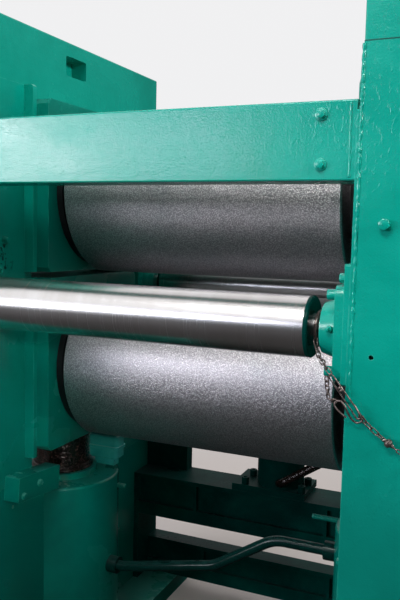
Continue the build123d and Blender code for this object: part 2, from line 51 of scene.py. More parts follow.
cameraData = bpy.data.cameras.new("viewpoint")
cameraData.lens = viewpoint["lens"]
cameraData.sensor_width = 36
cameraData.clip_start = 0.05
camera = bpy.data.objects.new("viewpoint", cameraData)
scene.collection.objects.link(camera)
cameraTurn = (
    Matrix.Rotation(math.radians(viewpoint["turn"]), 4, "Z")
    @ Matrix.Rotation(math.radians(90 + viewpoint["tip"]), 4, "X")
    @ Matrix.Rotation(math.radians(viewpoint["roll"]), 4, "Z")
)
camera.matrix_world = Matrix.Translation(viewpoint["place"]) @ cameraTurn
scene.camera = camera
print("camera set")


# small helpers for modelling by hand

def dropSelection():
    if bpy.context.object is not None and bpy.context.object.mode != "OBJECT":
        bpy.ops.object.mode_set(mode="OBJECT")
    bpy.ops.object.select_all(action="DESELECT")


def pickOnly(piece):
    dropSelection()
    piece.select_set(True)
    bpy.context.view_layer.objects.active = piece


def nameActive(name):
    piece = bpy.context.object
    piece.name = name
    piece.data.name = name
    return piece


def editFaces(piece, wanted):
    # goes into edit mode with the faces that `wanted` picks by centre and normal
    pickOnly(piece)
    bpy.ops.object.mode_set(mode="EDIT")
    bpy.ops.mesh.select_mode(type="FACE")
    bpy.ops.mesh.select_all(action="DESELECT")
    bpy.ops.object.mode_set(mode="OBJECT")
    for face in piece.data.polygons:
        face.select = bool(wanted(face.center, face.normal))
    bpy.ops.object.mode_set(mode="EDIT")


def leaveEdit():
    bpy.ops.object.mode_set(mode="OBJECT")


edges = {"segments": 2, "bevelFrom": 30, "smoothTo": 35}


def softEdges(piece, width):
    pickOnly(piece)
    bevel = piece.modifiers.new("softEdges", "BEVEL")
    bevel.width = width
    bevel.segments = edges["segments"]
    bevel.limit_method = "ANGLE"
    bevel.angle_limit = math.radians(edges["bevelFrom"])
    bpy.ops.object.modifier_apply(modifier=bevel.name)
    bpy.ops.object.shade_smooth_by_angle(angle=math.radians(edges["smoothTo"]))


def settle(piece):
    # puts the place into the mesh, so that the object stands at the origin
    pickOnly(piece)
    bpy.ops.object.transform_apply(location=True, rotation=True, scale=True)


def joinAll(pieces, name):
    dropSelection()
    for piece in pieces:
        piece.select_set(True)
    bpy.context.view_layer.objects.active = pieces[0]
    if len(pieces) > 1:
        bpy.ops.object.join()
    return nameActive(name)


def rod(name, sides, radius, depth, foot=0.0):
    # a cylinder along Z that stands on the height foot
    dropSelection()
    bpy.ops.mesh.primitive_cylinder_add(
        vertices=sides, radius=radius, depth=depth, location=(0, 0, foot + depth / 2)
    )
    piece = nameActive(name)
    settle(piece)
    return piece


def hoop(name, segments, radius, wire, place=(0, 0, 0)):
    # a torus round Z, with its segments round the hoop and round the wire
    dropSelection()
    bpy.ops.mesh.primitive_torus_add(
        major_segments=segments[0],
        minor_segments=segments[1],
        major_radius=radius,
        minor_radius=wire,
        location=place,
    )
    piece = nameActive(name)
    settle(piece)
    bpy.ops.object.shade_smooth()
    return piece


def ball(name, segments, radius, height=0.0, squash=1.0):
    dropSelection()
    bpy.ops.mesh.primitive_uv_sphere_add(
        segments=segments[0], ring_count=segments[1], radius=radius, location=(0, 0, height)
    )
    piece = nameActive(name)
    piece.scale = (1, 1, squash)
    settle(piece)
    bpy.ops.object.shade_smooth()
    return piece


def copyTo(master, spots, name):
    # one copy for each (place, direction it points in, turn about that direction)
    copies = []
    for place, direction, turn in spots:
        twin = bpy.data.objects.new(name, master.data.copy())
        scene.collection.objects.link(twin)
        aim = Vector(direction).to_track_quat("Z", "Y").to_matrix().to_4x4()
        spin = Matrix.Rotation(math.radians(turn), 4, "Z")
        twin.data.transform(Matrix.Translation(place) @ aim @ spin)
        copies.append(twin)
    bpy.data.objects.remove(master)
    return joinAll(copies, name)


def dress(piece, body, slot):
    piece.data.materials.clear()
    piece.data.materials.append(finishes[slot])
    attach(piece, body)


def handCurve(name, places, steps):
    # a smooth line from the first place to the last
    data = bpy.data.curves.new(name, "CURVE")
    data.dimensions = "3D"
    data.resolution_u = steps
    line = data.splines.new("NURBS")
    line.points.add(len(places) - 1)
    for point, place in zip(line.points, places):
        point.co = (*place, 1)
    line.order_u = 3
    line.use_endpoint_u = True
    piece = bpy.data.objects.new(name, data)
    scene.collection.objects.link(piece)
    return piece


def bentWire(name, places, wire):
    piece = handCurve(name, places, 8)
    piece.data.bevel_depth = wire / 2
    piece.data.bevel_resolution = 2
    piece.data.use_fill_caps = True
    pickOnly(piece)
    bpy.ops.object.convert(target="MESH")
    bpy.ops.object.shade_smooth()
    return bpy.context.object


# safety chain, from the ring on the guide roll's shaft to the eye on the right stand

chain = {
    "route": [
        (0.4526, -0.5512, 1.2738),
        (0.459, -0.562, 1.25),
        (0.48, -0.598, 1.236),
        (0.505, -0.632, 1.221),
        (0.537, -0.634, 1.176),
        (0.575, -0.633, 1.132),
        (0.61, -0.632, 1.103),
        (0.648, -0.633, 1.078),
        (0.673, -0.6342, 1.0608),
    ],
    "thickness": 0.012,
    "start": 0.006,
    "link": (0.022, 0.0122, 0.0029),  # length, width and wire
    "smallLink": (0.013, 0.0085, 0.0024),
    "smallPitch": 0.0092,
    "strandLink": (0.0145, 0.0105, 0.0029),
    "snap": (0.118, 0.214),  # from and to, along the route
    "snapOverlap": 0.012,
    "snapWidthAndWire": (0.0165, 0.0036),
    "snapNeck": (-0.02, 0.8),  # where the snap gets narrower, and by how much
    "snapTurn": 12,
    "firstTurn": 20,
    "ball": 0.0178,
    "ballAt": 0.289,
    "ballSquash": 0.9,
    "collar": 0.0042,
    "collarEdge": 0.0009,
    "hookWire": 0.0042,
    "gateWire": 0.0038,
    "hookFace": -0.632,
}

chainRoute = handCurve("chainRoute", chain["route"], 16)
chainLine = [vertex.co.copy() for vertex in bpy.data.meshes.new_from_object(chainRoute).vertices]
bpy.data.objects.remove(chainRoute)
chainSteps = list(zip(chainLine, chainLine[1:]))
chainLength = sum((second - first).length for first, second in chainSteps)


def alongChain(distance):
    # place and direction at a distance along the chain's line
    for first, second in chainSteps:
        step = (second - first).length
        if distance <= step:
            return first.lerp(second, distance / step), (second - first).normalized()
        distance -= step
    return chainLine[-1].copy(), (chainLine[-1] - chainLine[-2]).normalized()


def makeLink(name, length, width, wire):
    # a hoop pulled out along X into a long link
    link = hoop(name, (16, 6), (width - wire) / 2, wire / 2)
    for end in (-1, 1):
        editFaces(link, lambda centre, normal: centre.x * end > 0)
        bpy.ops.transform.translate(value=(end * (length - width) / 2, 0, 0))
        leaveEdit()
    return link


def placeLink(master, distance, turn):
    place, along = alongChain(distance)
    side = along.cross(Vector((0, 1, 0))).normalized()
    up = along.cross(side)
    turned = Matrix.Rotation(math.radians(turn), 3, along)
    side, up = turned @ side, turned @ up
    twin = bpy.data.objects.new(master.name, master.data.copy())
    scene.collection.objects.link(twin)
    axes = Matrix((along, side, up)).transposed().to_4x4()
    twin.data.transform(Matrix.Translation(place) @ axes)
    return twin


linkMaster = makeLink("chainLink", *chain["link"])
smallLinkMaster = makeLink("chainSmallLink", *chain["smallLink"])
strandLinkMaster = makeLink("chainStrandLink", *chain["strandLink"])
snapStart, snapEnd = chain["snap"]
snapMaster = makeLink("chainSnap", snapEnd - snapStart + chain["snapOverlap"], *chain["snapWidthAndWire"])
neckAt, neckWidth = chain["snapNeck"]
editFaces(snapMaster, lambda centre, normal: centre.x < neckAt)
bpy.ops.transform.resize(value=(1, neckWidth, 1))
leaveEdit()

# link after link, each turned further round the line: down to the snap, on to the swivel, and beyond it
linkPitch = chain["link"][0] - 2 * chain["link"][2]
# kind of link, from and to along the route, pitch, turn from one link to the next
chainRuns = [
    (linkMaster, chain["start"], snapStart, linkPitch, 78),
    (linkMaster, snapEnd + 0.008, chain["ballAt"] - 0.018, linkPitch, 84),
    (smallLinkMaster, chain["ballAt"] - 0.012, chainLength, chain["smallPitch"], 88),
]
links = [placeLink(snapMaster, (snapStart + snapEnd) / 2, chain["snapTurn"])]
turn = chain["firstTurn"]
for master, distance, stop, pitch, twist in chainRuns:
    while distance < stop:
        links.append(placeLink(master, distance, turn))
        distance += pitch
        turn += twist
for master in (linkMaster, smallLinkMaster, snapMaster):
    bpy.data.objects.remove(master)
safetyChain = joinAll(links, "safety_chain_links")

# the ball of the swivel with its two collars, and two more collars on the snap
swivelBall = ball("swivelBall", (24, 14), chain["ball"] / 2, squash=chain["ballSquash"])
swivelPieces = [copyTo(swivelBall, [(*alongChain(chain["ballAt"]), 0)], "swivelBall")]
# place along the route and width
collars = (
    (chain["ballAt"] - 0.0095, 0.009),
    (chain["ballAt"] + 0.0085, 0.007),
    (snapStart + 0.028, 0.0105),
    (snapStart + 0.034, 0.0105),
)
for distance, width in collars:
    collar = rod("swivelCollar", 18, width / 2, chain["collar"], -chain["collar"] / 2)
    softEdges(collar, chain["collarEdge"])
    swivelPieces.append(copyTo(collar, [(*alongChain(distance), 0)], "swivelCollar"))
chainSwivel = joinAll(swivelPieces, "safety_chain_swivel")

# the pear-shaped hook and the short strand beside the snap, both laid along listed points
hookFace = chain["hookFace"]
hookLoop = bentWire(
    "safety_chain_hook",
    [
        (0.5195, hookFace, 1.1637),
        (0.5294, hookFace - 0.004, 1.1689),
        (0.5392, hookFace - 0.006, 1.1587),
        (0.5459, hookFace - 0.004, 1.1424),
        (0.5535, hookFace, 1.1295),
        (0.5649, hookFace, 1.1235),
        (0.5766, hookFace, 1.1316),
        (0.5742, hookFace + 0.002, 1.1402),
    ],
    chain["hookWire"],
)
hookReturn = bentWire(
    "hookReturn",
    [
        (0.5195, hookFace, 1.1637),
        (0.5152, hookFace, 1.1575),
        (0.5246, hookFace - 0.002, 1.1455),
        (0.5426, hookFace - 0.003, 1.1336),
    ],
    chain["hookWire"],
)
gateHook = bentWire(
    "gateHook",
    [
        (0.5572, hookFace - 0.007, 1.1632),
        (0.5625, hookFace - 0.008, 1.1575),
        (0.5706, hookFace - 0.008, 1.1425),
        (0.5742, hookFace - 0.006, 1.1345),
    ],
    chain["gateWire"],
)
# place, direction and turn of each link in the strand
strandSpots = [
    ((0.4988, -0.631, 1.2072), (0.1, 0, -1), 10),
    ((0.4998, -0.632, 1.1985), (0.0, 0, -1), 95),
    ((0.5012, -0.633, 1.1898), (0.2, 0, -1), 15),
    ((0.5028, -0.633, 1.1812), (0.15, 0, -1), 100),
    ((0.504, -0.633, 1.1728), (0.3, 0, -1), 20),
    ((0.5088, -0.633, 1.1665), (1, 0, -0.35), 80),
    ((0.5165, -0.633, 1.1642), (1, 0, -0.1), 10),
]
strandLinkMaster.data.transform(Matrix.Rotation(math.radians(90), 4, "Y"))
strand = copyTo(strandLinkMaster, strandSpots, "strand")
chainHook = joinAll([hookLoop, hookReturn, gateHook, strand], "safety_chain_hook")
print("chain made,", round(chainLength, 4), "m")


# screws, studs, welds and rings that are too small for the CAD model

standFace = 0.62
heads = {
    # shares of the head's width
    "rim": 0.09,
    "crown": 0.045,
    "socketRadius": 0.29,
    "socketFloor": 0.52,  # a share of the head's height
    "headEdge": 0.0006,
    "washerEdge": 0.0009,
    "screwEdge": 0.0008,
}


def hexBolt(name, across, height, washer, washerHeight):
    # hexagon head on its washer, standing on Z = 0
    head = rod(name, 6, across / math.sqrt(3), height, washerHeight)
    editFaces(head, lambda centre, normal: normal.z > 0.9)
    bpy.ops.mesh.inset(thickness=across * heads["rim"])
    bpy.ops.transform.translate(value=(0, 0, across * heads["crown"]))
    leaveEdit()
    softEdges(head, heads["headEdge"])
    ring = rod(name + "Washer", 28, washer / 2, washerHeight)
    softEdges(ring, heads["washerEdge"])
    return joinAll([head, ring], name)


def capScrew(name, width, height):
    # round head with a hexagon socket, standing on Z = 0
    head = rod(name, 24, width / 2, height)
    socket = rod(name + "Socket", 6, width * heads["socketRadius"], height, height * heads["socketFloor"])
    pickOnly(head)
    cut = head.modifiers.new("socket", "BOOLEAN")
    cut.object = socket
    cut.operation = "DIFFERENCE"
    bpy.ops.object.modifier_apply(modifier=cut.name)
    bpy.data.objects.remove(socket)
    softEdges(head, heads["screwEdge"])
    return head


def mirrored(spots):
    # the same spots on both sides of the machine, with X reversed
    both = []
    for place, direction, turn in spots:
        for side in (1, -1):
            both.append(((side * place[0], *place[1:]), (side * direction[0], *direction[1:]), turn))
    return both


# a bolt's size is width across the flats, height, washer and the washer's height, a screw's is width and
# height, and each spot is (place, direction, turn), with the turns as uneven as a fitter leaves them
beamBolt = {
    "size": (0.0158, 0.0075, 0.0258, 0.003),
    # X, Z and turn
    "places": ((0.4648, 1.7366, 12), (0.466, 1.6379, 21), (-0.4648, 1.7366, 5), (-0.466, 1.6379, 17)),
}
beamSpots = [
    ((x, end * standFace, z), (0, end, 0), turn) for end in (-1, 1) for x, z, turn in beamBolt["places"]
]
beamBolts = copyTo(hexBolt("beamBolt", *beamBolt["size"]), beamSpots, "tie_beam_bolts")

flangeScrew = {
    "size": (0.022, 0.019),
    "face": 0.5035,
    "axisY": 0.51,
    "axisZ": 1.296,
    "step": 0.08,
    "turn": 12,
}
flangeSpots = []
for end in (-1, 1):
    for across in (-1, 1):
        for up in (-1, 1):
            screwY = end * flangeScrew["axisY"] + across * flangeScrew["step"]
            screwZ = flangeScrew["axisZ"] + up * flangeScrew["step"]
            place = (flangeScrew["face"], screwY, screwZ)
            flangeSpots.append((place, (-1, 0, 0), across * flangeScrew["turn"]))
screwMaster = capScrew("flangeScrew", *flangeScrew["size"])
flangeScrews = copyTo(screwMaster, mirrored(flangeSpots), "bearing_flange_screws")

padBolt = {
    "size": (0.0185, 0.011, 0.024, 0.0025),
    # X, Y, Z and turn, on the outer pad and on the post's side
    "places": ((0.5235, 0.594, 1.4115, 10), (0.5355, 0.352, 1.461, 24)),
}
padSpots = [((x, end * y, z), (-1, 0, 0), turn) for x, y, z, turn in padBolt["places"] for end in (-1, 1)]
padBolts = copyTo(hexBolt("padBolt", *padBolt["size"]), mirrored(padSpots), "bearing_pad_bolts")

barBolt = {
    "size": (0.0175, 0.006, 0.024, 0.002),
    "face": 0.4825,
    # Y, Z and turn
    "places": ((-0.336, 0.6874, 8), (-0.2573, 0.7051, 25), (0.396, 0.6874, 14), (0.3173, 0.7051, 2)),
}
barSpots = [((barBolt["face"], y, z), (-1, 0, 0), turn) for y, z, turn in barBolt["places"]]
barBolts = copyTo(hexBolt("barBolt", *barBolt["size"]), mirrored(barSpots), "hold_down_bolts")

frontBolt = {"size": (0.021, 0.013, 0.0225, 0.0015), "x": 0.598, "z": 1.5207, "turn": 11}
standSpots = [((frontBolt["x"], -standFace, frontBolt["z"]), (0, -1, 0), frontBolt["turn"])]
standBolt = copyTo(hexBolt("frontBolt", *frontBolt["size"]), standSpots, "stand_front_bolt")

baseScrew = {
    "size": (0.028, 0.026),
    "top": 0.533,
    # X, Y and turn
    "places": ((-0.06, 0.478, 10), (-0.06, 0.573, 0), (0.163, 0.478, 20), (0.163, 0.573, 5)),
}
baseSpots = [((x, y, baseScrew["top"]), (0, 0, 1), turn) for x, y, turn in baseScrew["places"]]
baseScrews = copyTo(capScrew("baseScrew", *baseScrew["size"]), baseSpots, "rear_base_screws")

# grease nipples on the bearing housings, pointing away from the rolls
nipple = {
    "foot": 0.0078,
    "height": 0.011,
    "sunk": 0.002,
    "ball": 0.0038,
    "ballHeight": 0.0135,
    "edge": 0.0006,
    "at": (0.4865, 0.574, 1.302),
    "turn": 15,
}
nippleFoot = rod("nippleFoot", 6, nipple["foot"], nipple["height"], -nipple["sunk"])
softEdges(nippleFoot, nipple["edge"])
nippleBall = ball("nippleBall", (14, 8), nipple["ball"], nipple["ballHeight"])
nippleX, nippleY, nippleZ = nipple["at"]
nippleSpots = [((nippleX, end * nippleY, nippleZ), (0, end, 0), nipple["turn"]) for end in (-1, 1)]
greaseNipples = copyTo(joinAll([nippleFoot, nippleBall], "nipple"), mirrored(nippleSpots), "grease_nipples")


studs = {
    "width": 0.018,
    "pitch": 0.0034,
    # in turns of the thread: how deep core and ridge lie, and the ridge's wire
    "coreDepth": 0.55,
    "ridgeDepth": 0.5,
    "ridgeWire": 0.42,
    "edge": 0.0008,
    # length, foot, direction
    "rows": [(0.1, (0.4035, 0.09, 0.614), (-1, 0, 0)), (0.034, (-0.4035, 0.09, 0.596), (1, 0, 0))],
}


def threadedStud(length):
    # a core with one ridge for each turn of the thread, along Z from Z = 0
    radius, pitch = studs["width"] / 2, studs["pitch"]
    core = rod("studCore", 20, radius - pitch * studs["coreDepth"], length)
    softEdges(core, studs["edge"])
    ridgeRadius = radius - pitch * studs["ridgeDepth"]
    ridge = hoop("studRidge", (20, 5), ridgeRadius, pitch * studs["ridgeWire"], (0, 0, pitch))
    row = ridge.modifiers.new("turns", "ARRAY")
    row.count = int(length / pitch) - 1
    row.use_relative_offset = False
    row.use_constant_offset = True
    row.constant_offset_displace = (0, 0, pitch)
    bpy.ops.object.modifier_apply(modifier=row.name)
    return joinAll([core, ridge], "stud")


cylinderStuds = joinAll(
    [
        copyTo(threadedStud(length), [(foot, direction, 0)], "stud")
        for length, foot, direction in studs["rows"]
    ],
    "cylinder_port_studs",
)

# greasy wiper rings round the rams, on the glands: height, radius and wire of each
wipers = {"ramX": 0.594, "ramY": 0.03, "rings": [(0.6685, 0.1035, 0.0058), (0.6785, 0.1008, 0.0044)]}
wiperRings = joinAll(
    [
        hoop("wiper", (64, 8), radius, wire, (side * wipers["ramX"], wipers["ramY"], height))
        for height, radius, wire in wipers["rings"]
        for side in (-1, 1)
    ],
    "ram_wiper_rings",
)

# painted welds along the posts and at the ends of the tie beams
welds = {
    "sunk": 0.0012,
    # as shares of the bead's radius
    "grid": 0.55,
    "clouds": 2.6,
    # radius, lumps, X and Z of the foot, X and Z of the top
    "lines": [
        (0.0042, 0.0042, (0.5437, 1.16), (0.5437, 1.868)),
        (0.0034, 0.0014, (0.5245, 1.612), (0.5232, 1.758)),
    ],
}


def weldBead(radius, lumps, start, end):
    # a bead laid from start to end, made uneven by a cloud texture
    start, end = Vector(start), Vector(end)
    dropSelection()
    bpy.ops.mesh.primitive_cylinder_add(
        vertices=10, radius=radius, depth=(end - start).length, end_fill_type="TRIFAN"
    )
    bead = nameActive("weldBead")
    pickOnly(bead)
    bpy.ops.object.mode_set(mode="EDIT")
    bpy.ops.mesh.select_all(action="SELECT")
    bpy.ops.mesh.bisect(plane_co=(0, 0, 0), plane_no=(0, 0, 1))
    leaveEdit()
    grid = bead.modifiers.new("grid", "REMESH")
    grid.mode = "VOXEL"
    grid.voxel_size = radius * welds["grid"]
    bpy.ops.object.modifier_apply(modifier=grid.name)
    clouds = bpy.data.textures.new("weldClouds", "CLOUDS")
    clouds.noise_scale = radius * welds["clouds"]
    wave = bead.modifiers.new("lumps", "DISPLACE")
    wave.texture = clouds
    wave.strength = lumps
    wave.mid_level = 0.5
    bpy.ops.object.modifier_apply(modifier=wave.name)
    bpy.ops.object.shade_smooth()
    return copyTo(bead, [((start + end) / 2, end - start, 0)], "weldBead")


weldY = standFace - welds["sunk"]
weldSeams = joinAll(
    [
        weldBead(radius, lumps, (side * foot[0], end * weldY, foot[1]), (side * top[0], end * weldY, top[1]))
        for side in (-1, 1)
        for end in (-1, 1)
        for radius, lumps, foot, top in welds["lines"]
    ],
    "painted_weld_seams",
)
print("fasteners, studs, rings and welds made")


# shader groups that more than one finish uses

def feed(tree, node, inputs):
    # links what comes from another node and sets what is a plain value
    for key, value in inputs.items():
        if isinstance(value, bpy.types.NodeSocket):
            tree.links.new(value, node.inputs[key])
        else:
            node.inputs[key].default_value = value


def addNode(tree, kind, inputs=None, **settings):
    node = tree.nodes.new(kind)
    for key, value in settings.items():
        setattr(node, key, value)
    feed(tree, node, inputs or {})
    return node


def newGroup(name, takes, gives):
    # an empty group, with the inputs it takes and the outputs it gives
    tree = bpy.data.node_groups.new(name, "ShaderNodeTree")
    for label, value in takes.items():
        tree.interface.new_socket(label, in_out="INPUT", socket_type="NodeSocketFloat").default_value = value
    for label in gives:
        tree.interface.new_socket(label, in_out="OUTPUT", socket_type="NodeSocketFloat")
    tree.nodes.new("NodeGroupOutput")
    return tree, tree.nodes.new("NodeGroupInput").outputs


def giveOut(tree, **results):
    feed(tree, tree.nodes["Group Output"], results)


def multiply(tree, first, second):
    return addNode(tree, "ShaderNodeMath", {0: first, 1: second}, operation="MULTIPLY").outputs[0]


def plus(tree, first, second):
    return addNode(tree, "ShaderNodeMath", {0: first, 1: second}, operation="ADD").outputs[0]


def minus(tree, first, second):
    return addNode(tree, "ShaderNodeMath", {0: first, 1: second}, operation="SUBTRACT").outputs[0]


def unsigned(tree, value):
    return addNode(tree, "ShaderNodeMath", {0: value}, operation="ABSOLUTE").outputs[0]


def stretch(tree, value, low, high, toLow=0.0, toHigh=1.0):
    # a soft step from toLow to toHigh, while the value goes from low to high
    inputs = {"Value": value, "From Min": low, "From Max": high, "To Min": toLow, "To Max": toHigh}
    return addNode(tree, "ShaderNodeMapRange", inputs, interpolation_type="SMOOTHSTEP").outputs[0]


def noise(tree, place, scale, detail=2.0, roughness=0.5, distortion=0.0):
    inputs = {"Vector": place, "Scale": scale, "Detail": detail}
    inputs.update({"Roughness": roughness, "Distortion": distortion})
    return addNode(tree, "ShaderNodeTexNoise", inputs).outputs[0]


def waver(tree, place, grain, reach):
    # noise round zero, up to half the reach to each side
    return multiply(tree, plus(tree, noise(tree, place, *grain), -0.5), reach)


def blendColour(tree, mask, first, second):
    inputs = {0: mask}
    for key, colour in ((6, first), (7, second)):
        inputs[key] = (*colour, 1) if isinstance(colour, tuple) else colour
    return addNode(tree, "ShaderNodeMix", inputs, data_type="RGBA").outputs[2]


def onObject(tree):
    return addNode(tree, "ShaderNodeTexCoord").outputs["Object"]


def surfaceNormal(tree):
    return addNode(tree, "ShaderNodeNewGeometry").outputs["Normal"]


def axis(tree, vector, index):
    return addNode(tree, "ShaderNodeSeparateXYZ", {0: vector}).outputs[index]


def scaled(tree, place, scale):
    return addNode(tree, "ShaderNodeMapping", {"Vector": place, "Scale": scale}).outputs[0]


# below, a noise is given by scale, detail, roughness and distortion, and a range by what stretch takes:
# where its step starts and ends, and at times the values there

# enamel put on by brush: orange peel, soft lumps, runs on the stands, cloudy tone and pits
skin = {
    "peelDetail": 1.5,
    "brushScale": (7.0, 7.0, 90.0),
    "brushNoise": (1.0,),
    "pitNoise": (330.0, 1.0),
    "pitRange": (0.66, 0.74),
    "runScale": (105.0, 105.0, 52.0),
    "runNoise": (1.0, 2.0, 0.5, 0.35),
    "runRange": (0.54, 0.74),
    "patchNoise": (4.5,),
    "patchRange": (0.48, 0.64),
    "standRange": (0.34, 0.52),
    "cloudNoise": (3.2, 4.0, 0.6, 0.4),
    "mix": {"peel": 0.5, "lumps": 0.55, "brush": 0.2, "runs": 1.1, "pits": -0.22},
}
brushedEnamel, enamelIn = newGroup(
    "brushedEnamel", {"Peel": 210.0, "Lumps": 38.0, "Runs": 1.0, "Seed": 0.0}, ("Height", "Cloud", "Speck")
)
place = onObject(brushedEnamel)
inputs = {0: place, 1: enamelIn["Seed"]}
shift = addNode(brushedEnamel, "ShaderNodeVectorMath", inputs, operation="ADD").outputs[0]
peel = noise(brushedEnamel, shift, enamelIn["Peel"], skin["peelDetail"])
lumps = noise(brushedEnamel, shift, enamelIn["Lumps"])
brush = noise(brushedEnamel, scaled(brushedEnamel, shift, skin["brushScale"]), *skin["brushNoise"])
pits = stretch(brushedEnamel, noise(brushedEnamel, shift, *skin["pitNoise"]), *skin["pitRange"])
runLine = noise(brushedEnamel, scaled(brushedEnamel, shift, skin["runScale"]), *skin["runNoise"])
fromMiddle = unsigned(brushedEnamel, axis(brushedEnamel, place, 0))
runPatch = stretch(brushedEnamel, noise(brushedEnamel, shift, *skin["patchNoise"]), *skin["patchRange"])
runPatch = multiply(brushedEnamel, runPatch, stretch(brushedEnamel, fromMiddle, *skin["standRange"]))
paintRuns = multiply(brushedEnamel, stretch(brushedEnamel, runLine, *skin["runRange"]), runPatch)
paintRuns = multiply(brushedEnamel, paintRuns, enamelIn["Runs"])
height = multiply(brushedEnamel, peel, skin["mix"]["peel"])
for layer, share in ((lumps, "lumps"), (brush, "brush"), (paintRuns, "runs"), (pits, "pits")):
    height = plus(brushedEnamel, height, multiply(brushedEnamel, layer, skin["mix"][share]))
giveOut(brushedEnamel, Height=height, Cloud=noise(brushedEnamel, shift, *skin["cloudNoise"]), Speck=pits)

# painted highlight: a bright line along sharp edges, broken into gaps
edgeGlint = {"samples": 4, "facingRange": (0.995, 0.82), "gapDetail": 3.0, "gapRange": (0.35, 0.6)}
edgeHighlight, highlightIn = newGroup("edgeHighlight", {"Width": 0.004, "Break": 30.0}, ("Edge",))
inputs = {"Radius": highlightIn["Width"]}
rounded = addNode(edgeHighlight, "ShaderNodeBevel", inputs, samples=edgeGlint["samples"]).outputs[0]
inputs = {0: rounded, 1: surfaceNormal(edgeHighlight)}
facing = addNode(edgeHighlight, "ShaderNodeVectorMath", inputs, operation="DOT_PRODUCT").outputs["Value"]
gaps = noise(edgeHighlight, onObject(edgeHighlight), highlightIn["Break"], edgeGlint["gapDetail"])
bright = stretch(edgeHighlight, facing, *edgeGlint["facingRange"])
giveOut(edgeHighlight, Edge=multiply(edgeHighlight, bright, stretch(edgeHighlight, gaps, *edgeGlint["gapRange"])))

# grey dust and oil film on what faces up
dusty = {"upRange": (0.35, 0.95), "detail": 5.0, "roughness": 0.6, "patchRange": (0.25, 0.7)}
shopDust, dustIn = newGroup("shopDust", {"Amount": 0.6, "Scale": 9.0}, ("Dust",))
upward = stretch(shopDust, axis(shopDust, surfaceNormal(shopDust), 2), *dusty["upRange"])
patches = noise(shopDust, onObject(shopDust), dustIn["Scale"], dusty["detail"], dusty["roughness"])
lying = multiply(shopDust, upward, stretch(shopDust, patches, *dusty["patchRange"]))
giveOut(shopDust, Dust=multiply(shopDust, lying, dustIn["Amount"]))

# painted shade that deepens towards the floor, in soft patches
shadeWaver = {"noise": (3.0, 4.0, 0.6), "reach": 0.5}
lowGrime, shadeIn = newGroup("lowGrime", {"Top": 1.3, "Foot": 0.7}, ("Grime",))
place = onObject(lowGrime)
level = plus(lowGrime, axis(lowGrime, place, 2), waver(lowGrime, place, shadeWaver["noise"], shadeWaver["reach"]))
giveOut(lowGrime, Grime=stretch(lowGrime, level, shadeIn["Top"], shadeIn["Foot"]))

# thin dark line where the heads sit on the posts, and small chips on the left facing
marks = {
    "lineNoise": (14.0, 2.0, 0.6),
    "lineReach": 0.002,
    "lineRange": (0.0022, 0.0008),
    "faceRange": (0.578, 0.586),
    "chipDetail": 3.0,
    "chipRoughness": 0.6,
    "chipRange": (0.56, 0.6),
    "chipsAt": (-0.528, -0.372, 1.4),
    "chipsReach": (0.065, 0.045),
}
bareMarks, marksIn = newGroup("bareMarks", {"Joint": 1.87, "Chips": 80.0}, ("Line", "Chipped"))
place = onObject(bareMarks)
sway = waver(bareMarks, place, marks["lineNoise"], marks["lineReach"])
offJoint = minus(bareMarks, plus(bareMarks, axis(bareMarks, place, 2), sway), marksIn["Joint"])
atJoint = stretch(bareMarks, unsigned(bareMarks, offJoint), *marks["lineRange"])
atFaces = stretch(bareMarks, unsigned(bareMarks, axis(bareMarks, place, 1)), *marks["faceRange"])
chips = noise(bareMarks, place, marksIn["Chips"], marks["chipDetail"], marks["chipRoughness"])
inputs = {0: place, 1: marks["chipsAt"]}
fromChips = addNode(bareMarks, "ShaderNodeVectorMath", inputs, operation="DISTANCE").outputs["Value"]
nearChips = stretch(bareMarks, fromChips, *marks["chipsReach"])
giveOut(
    bareMarks,
    Line=multiply(bareMarks, atJoint, atFaces),
    Chipped=multiply(bareMarks, stretch(bareMarks, chips, *marks["chipRange"]), nearChips),
)

# leather grain pressed in steel: round pebbles with soft folds between them
leather = {
    "wander": {"Scale": 70.0, "Detail": 2.0},
    "wanderShare": 0.008,
    "pull": (0.72, 1.0, 1.0),
    "smoothness": 0.35,
    "pebbleRange": (0.62, 0.12),
    "pebbleHeight": 0.7,
    "foldNoise": (95.0, 2.0, 0.6, 0.8),
}
leatherGrain, grainIn = newGroup("leatherGrain", {"Cells": 185.0, "Fold": 0.35}, ("Height", "Pebble"))
place = onObject(leatherGrain)
wander = addNode(leatherGrain, "ShaderNodeTexNoise", {"Vector": place, **leather["wander"]}).outputs[1]
inputs = {0: leather["wanderShare"], 4: place, 5: wander}
bent = addNode(leatherGrain, "ShaderNodeMix", inputs, data_type="VECTOR").outputs[1]
bent = scaled(leatherGrain, bent, leather["pull"])
inputs = {"Vector": bent, "Scale": grainIn["Cells"], "Smoothness": leather["smoothness"]}
cell = addNode(leatherGrain, "ShaderNodeTexVoronoi", inputs, feature="SMOOTH_F1").outputs["Distance"]
pebble = stretch(leatherGrain, cell, *leather["pebbleRange"])
fold = multiply(leatherGrain, noise(leatherGrain, place, *leather["foldNoise"]), grainIn["Fold"])
grainHeight = plus(leatherGrain, multiply(leatherGrain, pebble, leather["pebbleHeight"]), fold)
giveOut(leatherGrain, Height=grainHeight, Pebble=pebble)

# fine rings left by turning or grinding round the X axis
ringNoise = (1.0, 3.0, 0.7)
turnedRings, ringsIn = newGroup("turnedRings", {"Pitch": 900.0}, ("Rings",))
along = multiply(turnedRings, axis(turnedRings, onObject(turnedRings), 0), ringsIn["Pitch"])
alongOnly = addNode(turnedRings, "ShaderNodeCombineXYZ", {0: along}).outputs[0]
giveOut(turnedRings, Rings=noise(turnedRings, alongOnly, *ringNoise))


def useGroup(tree, group, **inputs):
    node = tree.nodes.new("ShaderNodeGroup")
    node.node_tree = group
    feed(tree, node, inputs)
    return node.outputs


def newFinish(name):
    material = bpy.data.materials.new(name)
    material.use_nodes = True
    shader = material.node_tree.nodes["Principled BSDF"]
    return material, material.node_tree, shader


